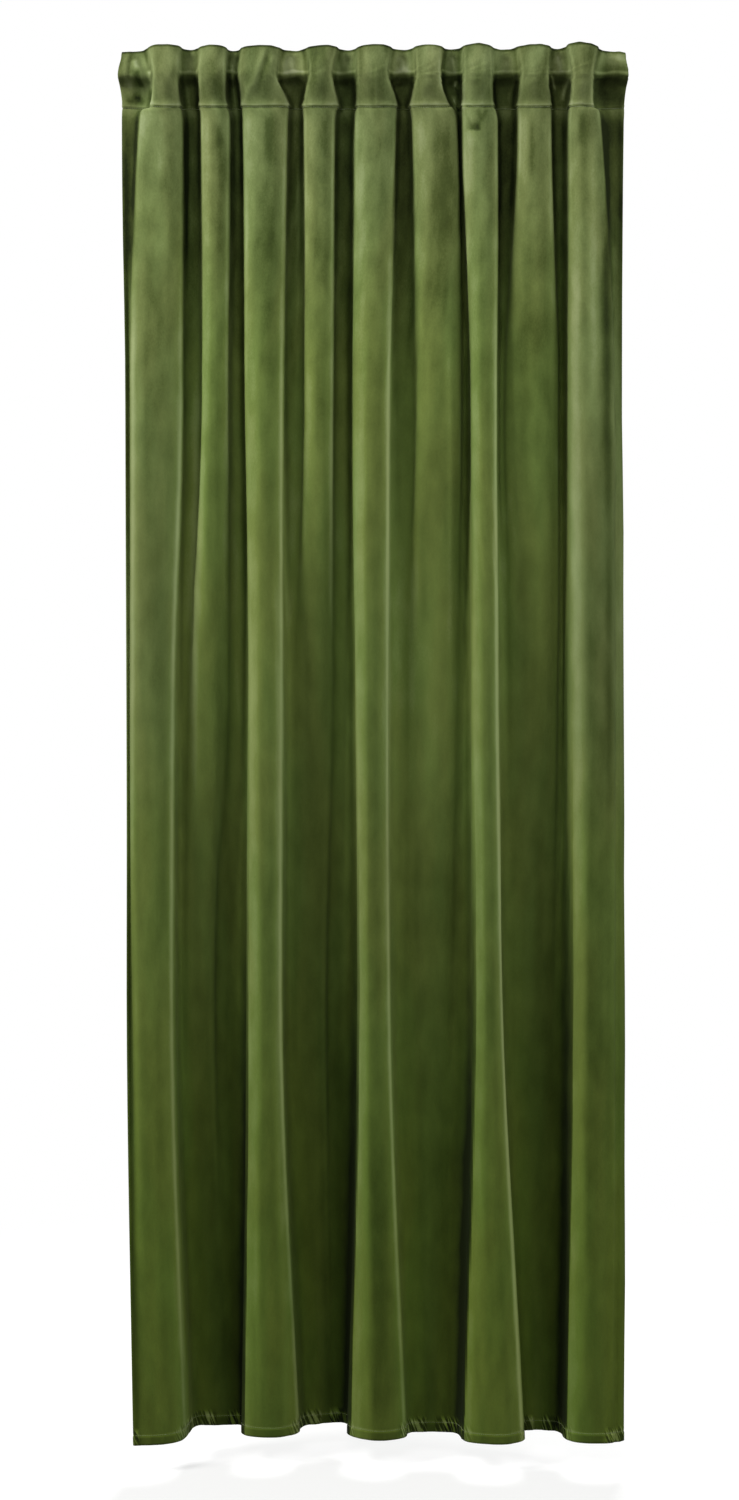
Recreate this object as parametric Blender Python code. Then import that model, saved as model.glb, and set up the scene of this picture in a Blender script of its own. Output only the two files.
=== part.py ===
"""A velvet curtain with hidden tabs, hung in its folds.

The model is in metres with +Z up. The origin is the middle of the curtain's top edge, above the axis
of the rod space. The front faces -Y. The tables below are in millimetres: places across the curtain are
measured from its middle, depths are negative towards the front, and heights run down from the top edge.
"""
import bisect
import math
from collections import namedtuple

import bpy
from mathutils import Vector

MM = 0.001

# Cloth sizes
DROP = 2450.0
CLOTH = 2.0
HEM_CLOTH = 3.2
HEM_TURN = 16.0

# Heading strip and tabs
SEAM_GAP = 0.35
STRIP_CLOTH = 1.0
STRIP_TOP = 6.0
STRIP_BOTTOM = 112.0
TAB_CLOTH = 1.0
TAB_WIDTH = 20.0
TAB_GAP = 0.4
TAB_MARGIN = 6.0
TAB_BOW = 23.0
TAB_BOW_POWER = 0.6
TAB_BOW_POINTS = 7
TOP_FOOT = (0.05, 0.7)
LOW_FOOT = (0.45, 0.93)

# Roundness of the crests and valleys between upright flanks and between soft ones
ROUND_PULL = 1.66
SOFT_PULL = 1.05
FRONT_SPANS = 3
VALLEY_SPANS = 2
END_SPANS = 2
SHARP_ANGLE = math.radians(50)

VELVET_COLOUR = (0.105, 0.150, 0.045)
TAPE_COLOUR = (0.075, 0.105, 0.035)

# One fold in one section: its left edge, crest, right edge, the crest's depth, the depth of the valley
# to its right, and how far the cloth turns back under its left and right edge
Fold = namedtuple("Fold", "left crest right front behind under_left under_right", defaults=(0.0, 0.0))

# One section of the hung cloth: its height on the cloth below the top edge, the place and depth of both
# side edges, the depth of the valley beside the left edge, and its nine folds from left to right
Section = namedtuple("Section", "below left_end left_depth right_end right_depth first_valley folds")
END_FIELDS = ("left_end", "left_depth", "right_end", "right_depth", "first_valley")

SECTIONS = (
    Section(0.0, -446, 4, 448, 7, 1, (
        Fold(-398, -366, -340, -43, -8),
        Fold(-307, -282, -260, -39, -2),
        Fold(-233, -195, -165, -38, -3),
        Fold(-118, -85, -63, -38, -6),
        Fold(-28, 5, 31, -42, -8),
        Fold(73, 96, 122, -41, -11),
        Fold(158, 182, 209, -47, -10),
        Fold(254, 288, 312, -43, -14),
        Fold(341, 362, 395, -54, 0))),
    Section(56.0, -450, 0, 450, 0, 0, (
        Fold(-388, -363, -343, -62, 0, 4, 6),
        Fold(-307, -281, -260, -60, 0, 5, 4),
        Fold(-237, -202, -170, -58, 0, 3, 8),
        Fold(-113, -93, -73, -62, 0, 8, 7),
        Fold(-29, 0, 26, -62, 0, 5, 7),
        Fold(75, 96, 118, -62, 0, 7, 7),
        Fold(158, 183, 209, -62, 0, 4, 7),
        Fold(259, 282, 308, -60, 0, 7, 5),
        Fold(349, 365, 386, -64, 0, 5, 7))),
    Section(110.0, -445, 3, 445, 3, 6, (
        Fold(-393, -364, -340, -42, 8, 3, 3),
        Fold(-307, -280, -258, -42, 8, 3, 3),
        Fold(-232, -188, -149, -42, 8, 3, 3),
        Fold(-124, -94, -62, -42, 8, 3, 3),
        Fold(-29, 5, 41, -42, 8, 3, 3),
        Fold(65, 96, 130, -42, 8, 3, 3),
        Fold(157, 184, 213, -44, 8, 3, 3),
        Fold(254, 282, 314, -42, 8, 3, 3),
        Fold(346, 364, 388, -46, 8, 3, 3))),
    Section(135.0, -445, 0, 444, 0, 2, (
        Fold(-409, -378, -336, -42, 8, 0, 2),
        Fold(-304, -278, -253, -42, 8, 2, 2),
        Fold(-230, -190, -151, -44, 8, 2, 2),
        Fold(-122, -95, -68, -42, 8, 2, 2),
        Fold(-32, 3, 40, -44, 8, 2, 2),
        Fold(69, 107, 148, -42, 10, 2, 2),
        Fold(157, 186, 219, -46, 8, 2, 2),
        Fold(256, 282, 314, -42, 8, 2, 2),
        Fold(344, 368, 400, -46, 4, 2, 0))),
    Section(620.0, -439, -4, 441, 0, 2, (
        Fold(-428, -380, -336, -44, 14),
        Fold(-301, -278, -257, -38, 18),
        Fold(-225, -192, -159, -50, 12),
        Fold(-121, -95, -71, -34, 18),
        Fold(-34, -4, 30, -50, 12),
        Fold(76, 114, 155, -34, 12),
        Fold(173, 194, 218, -48, 4),
        Fold(236, 284, 328, -22, 18),
        Fold(345, 382, 423, -48, -4))),
    Section(1130.0, -436, -14, 444, -10, -8, (
        Fold(-428, -388, -350, -48, 8),
        Fold(-326, -292, -258, -12, 30),
        Fold(-221, -190, -159, -54, 10, 4, 0),
        Fold(-134, -105, -73, 2, 32),
        Fold(-32, -6, 28, -54, 8, 3, 0),
        Fold(65, 104, 147, -2, 12),
        Fold(174, 196, 220, -52, 10, 0, 3),
        Fold(247, 285, 326, 0, 26),
        Fold(348, 385, 425, -50, -20))),
    Section(1660.0, -434, -30, 444, -22, -26, (
        Fold(-421, -384, -352, -54, 18),
        Fold(-331, -308, -284, 10, 42),
        Fold(-222, -191, -161, -54, 26, 10, 0),
        Fold(-135, -109, -84, 20, 50),
        Fold(-27, -2, 30, -56, 8, 8, 0),
        Fold(65, 101, 137, 2, 12),
        Fold(178, 201, 228, -56, 26, 0, 10),
        Fold(262, 290, 319, 20, 30),
        Fold(349, 383, 423, -54, -30))),
    Section(DROP, -418, -73, 440, -45, -74, (
        Fold(-414, -399, -328, -74, 46),
        Fold(-286, -271, -254, 47, 49),
        Fold(-230, -196, -130, -28, 50, 26, 0),
        Fold(-96, -85, -74, 58, 61),
        Fold(-43, 8, 58, -45, 5, 26, 0),
        Fold(90, 103, 115, 7, 4),
        Fold(156, 221, 264, -68, 14, 0, 26),
        Fold(283, 294, 304, 19, 14),
        Fold(337, 382, 418, -62, -52))),
)

# How far the cloth bulges forward over the rod space in the valleys that the tabs hold
Lip = namedtuple("Lip", "below forward")
LIPS = (Lip(0, 0), Lip(12, 3), Lip(28, 14), Lip(40, 20), Lip(51, 22), Lip(57, 19), Lip(62, 11), Lip(67, 3),
        Lip(74, -2), Lip(86, -4), Lip(100, -2), Lip(110, 0), Lip(DROP, 0))

# How far that longer way round the rod draws the valley cloth up
Lift = namedtuple("Lift", "below up")
LIFTS = (Lift(0, 0), Lift(30, 2), Lift(51, 5), Lift(60, 7.5), Lift(68, 10), Lift(75, 11.5), Lift(110, 11),
         Lift(135, 10.5), Lift(620, 7), Lift(DROP, 0))

# The part of its width that a flank's depth must reach to stand upright: the free top edge waves softly
Stand = namedtuple("Stand", "below share")
STANDS = (Stand(0, 1.5), Stand(30, 0.95), Stand(56, 0.7), Stand(DROP, 0.7))

# Heights of the mesh rows, close together over the heading and wide apart along the straight folds
STRIP_ROWS = (STRIP_TOP, 22, 38, 51, 60, 69, 80, STRIP_BOTTOM)
HEM_LINE = DROP - HEM_TURN
HEM_STEP = 3.0
PANEL_ROWS = (0,) + STRIP_ROWS + (140, 260, 620, 1130, 1660, 2060, 2300, HEM_LINE - HEM_STEP, HEM_LINE, DROP)

# A point of a section that the curve passes through
Anchor = namedtuple("Anchor", "x y kind under valley")


def steady_slopes(places, values):
    """Slopes of a smooth curve through the values that never swings past them."""
    steps = [b - a for a, b in zip(places, places[1:])]
    rises = [(b - a) / step for a, b, step in zip(values, values[1:], steps)]
    slopes = [rises[0]]
    for before, after, step, following in zip(rises, rises[1:], steps, steps[1:]):
        if before * after <= 0:
            slopes.append(0.0)
        else:
            heavy = 2 * following + step
            light = following + 2 * step
            slopes.append((heavy + light) / (heavy / before + light / after))
    slopes.append(rises[-1])
    return slopes


def hermite(start, end, start_slope, end_slope, t):
    """A cubic from start to end with the slopes given over the whole step."""
    return ((2 * t ** 3 - 3 * t ** 2 + 1) * start + (t ** 3 - 2 * t ** 2 + t) * start_slope
            + (3 * t ** 2 - 2 * t ** 3) * end + (t ** 3 - t ** 2) * end_slope)


def steady(places, values, place):
    """The value at one place on the smooth curve through a table's column."""
    slopes = steady_slopes(places, values)
    index = min(max(bisect.bisect_right(places, place) - 1, 0), len(places) - 2)
    step = places[index + 1] - places[index]
    t = (place - places[index]) / step
    return hermite(values[index], values[index + 1], slopes[index] * step, slopes[index + 1] * step, t)


def section_at(below):
    """The section at any height, read smoothly from the table of sections."""
    places = [section.below for section in SECTIONS]
    ends = [steady(places, [getattr(section, field) for section in SECTIONS], below) for field in END_FIELDS]
    folds = []
    for number in range(len(SECTIONS[0].folds)):
        columns = zip(*[section.folds[number] for section in SECTIONS])
        folds.append(Fold(*[steady(places, column, below) for column in columns]))
    return Section(below, *ends, folds)


def anchors_of(section):
    """The side edges, valleys, fold edges and crests of a section, from left to right."""
    forward = steady([lip.below for lip in LIPS], [lip.forward for lip in LIPS], section.below)
    folds = section.folds
    valleys = [section.first_valley - forward] + [fold.behind - forward for fold in folds]
    rights = [section.left_end] + [fold.right for fold in folds]
    lefts = [fold.left for fold in folds] + [section.right_end]
    middles = [(right + left) / 2 for right, left in zip(rights, lefts)]
    anchors = [Anchor(section.left_end, section.left_depth - forward, "end", 0.0, 1.0),
               Anchor(middles[0], valleys[0], "level", 0.0, 1.0)]
    for fold, before, after, middle in zip(folds, valleys, valleys[1:], middles[1:]):
        anchors.append(Anchor(fold.left, (before + fold.front) / 2, "flank", fold.under_left, 0.5))
        anchors.append(Anchor(fold.crest, fold.front, "level", 0.0, 0.0))
        anchors.append(Anchor(fold.right, (after + fold.front) / 2, "flank", fold.under_right, 0.5))
        anchors.append(Anchor(middle, after, "level", 0.0, 1.0))
    anchors.append(Anchor(section.right_end, section.right_depth - forward, "end", 0.0, 1.0))
    return anchors


def softness(anchors, index, share):
    """From 0 on an upright flank to 1 on a flat one, for the stretch between a valley and a crest."""
    level = index if anchors[index].kind == "level" else index + 1
    flank = index if anchors[index].kind == "flank" else index + 1
    other = 2 * flank - level
    width = abs(anchors[other].x - anchors[level].x)
    depth = abs(anchors[other].y - anchors[level].y)
    return max(0.0, 1.0 - depth / max(share * width, 1.0))


def stretch_pulls(anchors, index, share):
    """The tangents at both ends of the stretch from one anchor to the next."""
    start, end = anchors[index], anchors[index + 1]
    dx, dy = end.x - start.x, end.y - start.y
    if "end" in (start.kind, end.kind):
        plain = (dx, dy)
        level = (dx, 0.0)
        return (plain, level) if start.kind == "end" else (level, plain)
    soft = softness(anchors, index, share)
    level = (dx * (ROUND_PULL + (SOFT_PULL - ROUND_PULL) * soft), 0.0)
    under = start.under + end.under
    flank = (dx * soft - under, dy * ROUND_PULL)
    return (flank, level) if start.kind == "flank" else (level, flank)


def spans_of(anchors, index):
    """How many mesh spans a stretch gets: more round the crests, fewer in the valleys."""
    kinds = (anchors[index].kind, anchors[index + 1].kind)
    if "end" in kinds:
        return END_SPANS
    at_crest = 0.0 in (anchors[index].valley, anchors[index + 1].valley)
    return FRONT_SPANS if at_crest else VALLEY_SPANS


def section_points(below):
    """Points across the cloth's middle surface at one height, in metres."""
    anchors = anchors_of(section_at(below))
    up = steady([lift.below for lift in LIFTS], [lift.up for lift in LIFTS], below)
    share = steady([stand.below for stand in STANDS], [stand.share for stand in STANDS], below)
    points = []
    for index in range(len(anchors) - 1):
        start, end = anchors[index], anchors[index + 1]
        first, last = stretch_pulls(anchors, index, share)
        spans = spans_of(anchors, index)
        for step in range(spans):
            t = step / spans
            x = hermite(start.x, end.x, first[0], last[0], t)
            y = hermite(start.y, end.y, first[1], last[1], t)
            valley = hermite(start.valley, end.valley, 0.0, 0.0, t)
            points.append(Vector((x, y, up * valley - below)) * MM)
    points.append(Vector((anchors[-1].x, anchors[-1].y, up - below)) * MM)
    return points


def valley_columns():
    """The mesh columns that run down the middle of the valleys, where the tabs sit."""
    anchors = anchors_of(section_at(0.0))
    columns = []
    column = 0
    for index in range(len(anchors) - 1):
        if anchors[index].kind == "level" and anchors[index].valley == 1.0:
            columns.append(column)
        column += spans_of(anchors, index)
    return columns


def sheet_normals(rows):
    """Outward normals of the middle surface, pointing to the back of the curtain."""
    last_row, last_column = len(rows) - 1, len(rows[0]) - 1
    normals = []
    for r, row in enumerate(rows):
        line = []
        for c in range(len(row)):
            along = row[min(c + 1, last_column)] - row[max(c - 1, 0)]
            down = rows[min(r + 1, last_row)][c] - rows[max(r - 1, 0)][c]
            line.append(along.cross(down).normalized())
        normals.append(line)
    return normals


def shifted(rows, normals, distances):
    """The surface moved along its normals, by one distance in millimetres for each row."""
    moved = []
    for row, line, distance in zip(rows, normals, distances):
        moved.append([point + normal * distance * MM for point, normal in zip(row, line)])
    return moved


def closed_sheet(front, back):
    """Vertices and faces of the closed solid between a front and a back grid of points."""
    rows, columns = len(front), len(front[0])
    points = [point for grid in (front, back) for row in grid for point in row]
    offset = rows * columns

    def at(r, c):
        return r * columns + c

    faces = []
    for r in range(rows - 1):
        for c in range(columns - 1):
            corners = (at(r, c), at(r + 1, c), at(r + 1, c + 1), at(r, c + 1))
            faces.append((corners[0], corners[1], corners[2]))
            faces.append((corners[0], corners[2], corners[3]))
            faces.append((offset + corners[2], offset + corners[1], offset + corners[0]))
            faces.append((offset + corners[3], offset + corners[2], offset + corners[0]))
    rim = [at(0, c) for c in range(columns)]
    rim += [at(r, columns - 1) for r in range(1, rows)]
    rim += [at(rows - 1, c) for c in range(columns - 2, -1, -1)]
    rim += [at(r, 0) for r in range(rows - 2, 0, -1)]
    for here, there in zip(rim, rim[1:] + rim[:1]):
        faces.append((here, there, offset + there))
        faces.append((here, offset + there, offset + here))
    return points, faces


def add_object(name, points, faces, material):
    """A named object with its own smooth-shaded mesh and material."""
    mesh = bpy.data.meshes.new(name)
    mesh.from_pydata([tuple(point) for point in points], [], faces)
    mesh.materials.append(material)
    mesh.shade_smooth()
    mesh.set_sharp_from_angle(angle=SHARP_ANGLE)
    mesh.update()
    thing = bpy.data.objects.new(name, mesh)
    bpy.context.scene.collection.objects.link(thing)
    return thing


def make_material(name, colour, roughness):
    """A cloth finish with its own colour and roughness."""
    material = bpy.data.materials.new(name)
    material.use_nodes = True
    shader = material.node_tree.nodes["Principled BSDF"]
    shader.inputs["Base Color"].default_value = (*colour, 1.0)
    shader.inputs["Roughness"].default_value = roughness
    shader.inputs["Metallic"].default_value = 0.0
    return material


def make_panel(material):
    """The velvet in one piece, with its bottom hem a little thicker."""
    rows = [section_points(below) for below in PANEL_ROWS]
    normals = sheet_normals(rows)
    halves = [(HEM_CLOTH if below >= HEM_LINE else CLOTH) / 2 for below in PANEL_ROWS]
    front = shifted(rows, normals, [-half for half in halves])
    back = shifted(rows, normals, halves)
    add_object("panel", *closed_sheet(front, back), material)
    return rows, normals


def make_heading_strip(rows, normals, material):
    """The woven strip sewn along the back of the heading. Returns the grid of its back face."""
    first = PANEL_ROWS.index(STRIP_TOP)
    last = first + len(STRIP_ROWS)
    rows, normals = rows[first:last], normals[first:last]
    near = CLOTH / 2 + SEAM_GAP
    front = shifted(rows, normals, [near] * len(rows))
    back = shifted(rows, normals, [near + STRIP_CLOTH] * len(rows))
    add_object("heading_strip", *closed_sheet(front, back), material)
    return back


def tab_route(line):
    """The front face of a tab in its own plane: a top foot, the bow behind the rod space, a low foot."""
    behind = Vector((0.0, TAB_GAP, 0.0)) * MM
    top = [line[0].lerp(line[1], part) + behind for part in TOP_FOOT]
    low = [line[-2].lerp(line[-1], part) + behind for part in LOW_FOOT]
    bow = []
    for step in range(1, TAB_BOW_POINTS):
        t = step / TAB_BOW_POINTS
        point = top[1].lerp(low[0], t)
        point.y += TAB_BOW * MM * math.sin(math.pi * t) ** TAB_BOW_POWER
        bow.append(point)
    return top + bow + low


def seam_line(back, column):
    """The hindmost line of the strip's back face over one tab's width, from its top to its bottom row."""
    line = []
    for row in back:
        middle = row[column]
        reach = (TAB_WIDTH / 2 + TAB_MARGIN) * MM
        depth = max(point.y for point in row if abs(point.x - middle.x) <= reach)
        line.append(Vector((middle.x, depth, middle.z)))
    return line


def make_tab(number, line, material):
    """One hidden tab: a flat band sewn to the strip at both feet and bowed back round the rod space."""
    route = tab_route(line)
    middle = sum(point.x for point in route) / len(route)
    half = TAB_WIDTH / 2 * MM
    front, back = [], []
    for index, point in enumerate(route):
        ahead = route[min(index + 1, len(route) - 1)]
        past = route[max(index - 1, 0)]
        down = Vector((0.0, ahead.y - past.y, ahead.z - past.z)).normalized()
        out = Vector((0.0, -down.z, down.y)) * TAB_CLOTH * MM
        near = [Vector((middle + side * half, point.y, point.z)) for side in (-1, 1)]
        front.append(near)
        back.append([corner + out for corner in near])
    return add_object(f"tab_{number:02d}", *closed_sheet(front, back), material)


def build():
    """Clears the scene and makes the curtain."""
    for thing in list(bpy.data.objects):
        bpy.data.objects.remove(thing, do_unlink=True)
    velvet = make_material("olive_velvet", VELVET_COLOUR, 0.85)
    tape = make_material("olive_heading_tape", TAPE_COLOUR, 0.8)
    webbing = make_material("olive_tab_webbing", TAPE_COLOUR, 0.75)
    rows, normals = make_panel(velvet)
    back = make_heading_strip(rows, normals, tape)
    for number, column in enumerate(valley_columns(), start=1):
        make_tab(number, seam_line(back, column), webbing)


build()
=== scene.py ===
"""The looks of a velvet curtain with hidden tabs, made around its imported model.

Everything is in metres in the model's own frame: +Z is up, the front faces -Y, and the origin is the
middle of the curtain's top edge. The tables are in millimetres: places across the curtain are measured
from its middle, depths are negative towards the front, and heights run down the cloth from the top edge.
"""

import bisect
import math
from collections import namedtuple
from types import SimpleNamespace

import bpy
import numpy as np
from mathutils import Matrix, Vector, noise


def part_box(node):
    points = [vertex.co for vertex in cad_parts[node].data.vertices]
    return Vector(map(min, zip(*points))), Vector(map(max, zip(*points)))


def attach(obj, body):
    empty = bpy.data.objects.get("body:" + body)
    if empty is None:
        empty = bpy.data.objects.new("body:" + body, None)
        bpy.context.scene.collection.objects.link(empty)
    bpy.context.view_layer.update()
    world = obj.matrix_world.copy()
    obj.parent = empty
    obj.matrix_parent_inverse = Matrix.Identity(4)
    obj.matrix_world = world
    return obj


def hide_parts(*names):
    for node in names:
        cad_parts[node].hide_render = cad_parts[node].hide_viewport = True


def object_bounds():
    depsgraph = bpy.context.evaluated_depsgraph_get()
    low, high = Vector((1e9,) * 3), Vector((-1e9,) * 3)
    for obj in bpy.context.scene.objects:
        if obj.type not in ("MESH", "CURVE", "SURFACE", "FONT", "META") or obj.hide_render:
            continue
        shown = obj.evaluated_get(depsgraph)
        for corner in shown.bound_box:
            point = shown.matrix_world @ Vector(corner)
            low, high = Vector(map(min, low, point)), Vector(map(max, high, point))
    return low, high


bl_info = {
    "name": "Velvet curtain with hidden tabs",
    "version": (1, 0, 0),
    "blender": (4, 5, 0),
    "location": "3D View > Sidebar > Curtain",
    "description": "Makes the velvet, its seams, the heading strip and the tabs of one hung curtain",
    "category": "Object",
}

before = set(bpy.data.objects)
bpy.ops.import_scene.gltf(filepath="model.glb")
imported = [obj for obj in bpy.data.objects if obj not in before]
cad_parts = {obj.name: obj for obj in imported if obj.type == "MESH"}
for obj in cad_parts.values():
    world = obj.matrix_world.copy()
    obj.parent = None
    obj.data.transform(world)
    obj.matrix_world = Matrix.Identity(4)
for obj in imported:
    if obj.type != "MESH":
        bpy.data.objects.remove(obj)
CAD_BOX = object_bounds()

MM = 0.001
# The length that one unit of the cloth's UV map stands for
UV_METRES = 2.5
BODY = "root"
TAB_NAMES = sorted(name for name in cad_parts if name.startswith("tab_"))

# The hung sections

DROP = 2450.0

# One fold in one section: its left edge, crest, right edge, the crest's depth, the depth of the valley
# to its right, and how far the cloth turns back under its left and right edge
Fold = namedtuple("Fold", "left crest right front behind under_left under_right", defaults=(0.0, 0.0))

# One section of the hung cloth: its height on the cloth below the top edge, the place and depth of both
# side edges, the depth of the valley beside the left edge, and its nine folds from left to right
Section = namedtuple("Section", "below left_end left_depth right_end right_depth first_valley folds")

SECTIONS = [Section(*ends, [Fold(*fold) for fold in folds]) for *ends, folds in (
    (0.0, -446, 4, 448, 7, 1, (
        (-398, -366, -340, -43, -8), (-307, -282, -260, -39, -2), (-233, -195, -165, -38, -3),
        (-118, -85, -63, -38, -6), (-28, 5, 31, -42, -8), (73, 96, 122, -41, -11),
        (158, 182, 209, -47, -10), (254, 288, 312, -43, -14), (341, 362, 395, -54, 0))),
    (56.0, -450, 0, 450, 0, 0, (
        (-388, -363, -343, -62, 0, 4, 6), (-307, -281, -260, -60, 0, 5, 4), (-237, -202, -170, -58, 0, 3, 8),
        (-113, -93, -73, -62, 0, 8, 7), (-29, 0, 26, -62, 0, 5, 7), (75, 96, 118, -62, 0, 7, 7),
        (158, 183, 209, -62, 0, 4, 7), (259, 282, 308, -60, 0, 7, 5), (349, 365, 386, -64, 0, 5, 7))),
    (110.0, -445, 3, 445, 3, 6, (
        (-393, -364, -340, -42, 8, 3, 3), (-307, -280, -258, -42, 8, 3, 3), (-232, -188, -149, -42, 8, 3, 3),
        (-124, -94, -62, -42, 8, 3, 3), (-29, 5, 41, -42, 8, 3, 3), (65, 96, 136, -42, 8, 3, 3),
        (157, 184, 213, -44, 8, 3, 3), (254, 282, 314, -42, 8, 3, 3), (346, 364, 388, -46, 8, 3, 3))),
    (117.0, -445, 0, 445, 2, -1, (
        (-409, -376, -338, -42, 8, 1, 2), (-305, -279, -255, -42, 8, 2, 2), (-231, -189, -150, -43, 8, 2, 2),
        (-123, -95, -66, -42, 8, 2, 2), (-31, 4, 41, -43, 8, 2, 2), (67, 102, 144, -42, 9, 2, 2),
        (157, 185, 216, -45, 8, 2, 2), (255, 282, 314, -42, 8, 2, 2), (345, 367, 398, -46, 5, 2, 1))),
    (135.0, -445, -4, 444, 0, -8, (
        (-412, -379, -336, -42, 8, 0, 2), (-304, -278, -253, -42, 8, 2, 2), (-230, -190, -151, -44, 8, 2, 2),
        (-122, -95, -68, -42, 8, 2, 2), (-32, 3, 40, -44, 8, 2, 2), (69, 107, 148, -42, 10, 2, 2),
        (157, 186, 219, -46, 8, 2, 2), (256, 282, 314, -42, 8, 2, 2), (344, 369, 401, -46, 4, 2, 0))),
    (620.0, -439, -4, 441, 0, 2, (
        (-428, -380, -336, -44, 14), (-301, -278, -257, -38, 18), (-225, -192, -159, -50, 12),
        (-121, -95, -71, -34, 18), (-34, -4, 30, -50, 12), (76, 114, 155, -34, 12),
        (173, 194, 218, -48, 4), (236, 284, 328, -22, 18), (345, 382, 423, -48, -4))),
    (1130.0, -436, -14, 444, -10, -8, (
        (-428, -388, -350, -48, 8), (-326, -292, -258, -12, 30), (-221, -190, -159, -54, 10, 4, 0),
        (-134, -105, -73, 2, 32), (-32, -6, 28, -54, 8, 3, 0), (65, 104, 147, -2, 12),
        (174, 196, 220, -52, 10, 0, 3), (247, 285, 326, 0, 26), (348, 385, 425, -50, -20))),
    (1660.0, -434, -30, 444, -22, -26, (
        (-421, -384, -352, -54, 18), (-331, -308, -284, 10, 42), (-222, -191, -161, -54, 26, 10, 0),
        (-135, -109, -84, 20, 50), (-27, -2, 30, -56, 8, 8, 0), (65, 101, 137, 2, 12),
        (178, 201, 228, -56, 26, 0, 10), (262, 290, 319, 20, 30), (349, 383, 423, -54, -30))),
    (DROP, -418, -73, 440, -45, -74, (
        (-414, -399, -328, -74, 46), (-286, -271, -254, 47, 49), (-230, -196, -130, -28, 50, 26, 0),
        (-96, -85, -74, 58, 61), (-43, 8, 58, -45, 5, 26, 0), (90, 103, 115, 7, 4),
        (156, 221, 264, -68, 14, 0, 26), (283, 294, 304, 19, 14), (337, 382, 418, -62, -52))),
)]

# Each row of the next three tables is a height down the cloth and the value there

# How far the cloth bulges forward over the rod space in the valleys that the tabs hold
LIPS = ((0, 0), (12, 3), (28, 14), (40, 20), (51, 22), (57, 19), (62, 11), (67, 3), (74, -2), (86, -4),
        (100, -2), (110, 0), (DROP, 0))

# How far that longer way round the rod draws the valley cloth up
LIFTS = ((0, 0), (30, 2), (51, 5), (60, 7.5), (68, 10), (75, 11.5), (110, 11), (135, 10.5), (620, 7),
         (DROP, 0))

# The part of its width that a flank's depth must reach to stand upright: the free top edge waves softly
STANDS = ((0, 1.5), (30, 0.95), (56, 0.7), (DROP, 0.7))

# Roundness of the crests and valleys between upright flanks and between soft ones
ROUND_PULL = 1.66
SOFT_PULL = 1.05

# A soft stroke, from one place on the curtain's front to another, with its width across
Stroke = namedtuple("Stroke", "x1 below1 x2 below2 width height")

# Creases: ridges (above nought) and troughs (below nought)
CREASES = [Stroke(*row) for row in (
    (-429, 10, -432, 62, 3, -1.2), (-438, 8, -440, 60, 6, 1.6), (-424, 18, -400, 72, 6, 3.2),
    (-410, 12, -396, 40, 6, 1.6), (-335, 56, -327, 108, 3, 1.8), (-381, 80, -390, 108, 4, 1.6),
    (-345, 20, -341, 60, 4, 1.2), (-307, 38, -314, 92, 3, 1.6), (-250, 30, -243, 106, 4, 4.5),
    (-192, 14, -213, 84, 6, 2.6), (-183, 16, -203, 88, 4, -1.2), (-216, 74, -228, 108, 4, 2.2),
    (-182, 52, -154, 108, 4, 2.4), (-176, 20, -180, 52, 6, 1.6), (-115, 76, -107, 108, 4, 1.2),
    (-98, 20, -92, 60, 8, 1.2), (5, 46, 6, 106, 3, 1.4), (25, 56, 41, 108, 4, 1.8),
    (-12, 16, -8, 60, 5, 1.2), (112, 60, 128, 108, 5, 1.6), (88, 76, 90, 108, 4, 1.2),
    (196, 24, 190, 106, 6, 1.4), (170, 20, 172, 70, 5, 1.0), (254, 56, 240, 94, 3, 2.0),
    (280, 40, 276, 106, 6, 1.0), (312, 58, 322, 80, 3, 3.0), (348, 40, 333, 98, 3, 1.8),
    (362, 24, 366, 104, 5, 1.2), (-326, 12, -322, 50, 6, 2.0), (-148, 12, -139, 54, 7, 2.4),
    (-58, 12, -57, 42, 3, -1.2), (-44, 10, -43, 32, 3, -1.2), (47, 12, 56, 50, 6, 2.6),
    (139, 14, 145, 50, 4, 3.0), (152, 16, 149, 48, 3, -1.2), (325, 12, 331, 48, 5, 3.0),
    (147, 66, 150, 78, 5, 5.0), (144, 88, 148, 102, 5, 5.0), (132, 113, 150, 108, 4, 2.5),
    (150, 106, 166, 112, 4, 2.5), (166, 147, 188, 147, 7, -4.0), (166, 161, 188, 161, 8, 3.5),
    (165, 118, 168, 132, 3, 1.6), (183, 116, 190, 132, 4, -1.6),
)]
# A trough over the heading strip stays shallower than the velvet, which the strip lies behind
HEADING_TROUGH = -1.2

# A point of a section that the curve passes through
Anchor = namedtuple("Anchor", "x y kind under valley")


def steady_slopes(places, values):
    """Slopes of a smooth curve through the values that never swings past them."""
    steps = [b - a for a, b in zip(places, places[1:])]
    rises = [(b - a) / step for a, b, step in zip(values, values[1:], steps)]
    slopes = [rises[0]]
    for before, after, step, following in zip(rises, rises[1:], steps, steps[1:]):
        if before * after <= 0:
            slopes.append(0.0)
        else:
            heavy, light = 2 * following + step, following + 2 * step
            slopes.append((heavy + light) / (heavy / before + light / after))
    slopes.append(rises[-1])
    return slopes


def hermite(start, end, start_slope, end_slope, t):
    """A cubic from start to end with the slopes given over the whole step."""
    return ((2 * t ** 3 - 3 * t ** 2 + 1) * start + (t ** 3 - 2 * t ** 2 + t) * start_slope
            + (3 * t ** 2 - 2 * t ** 3) * end + (t ** 3 - t ** 2) * end_slope)


def steady(places, values, place):
    """The value at one place on the smooth curve through a table's column."""
    slopes = steady_slopes(places, values)
    index = min(max(bisect.bisect_right(places, place) - 1, 0), len(places) - 2)
    step = places[index + 1] - places[index]
    t = (place - places[index]) / step
    return hermite(values[index], values[index + 1], slopes[index] * step, slopes[index + 1] * step, t)


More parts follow.
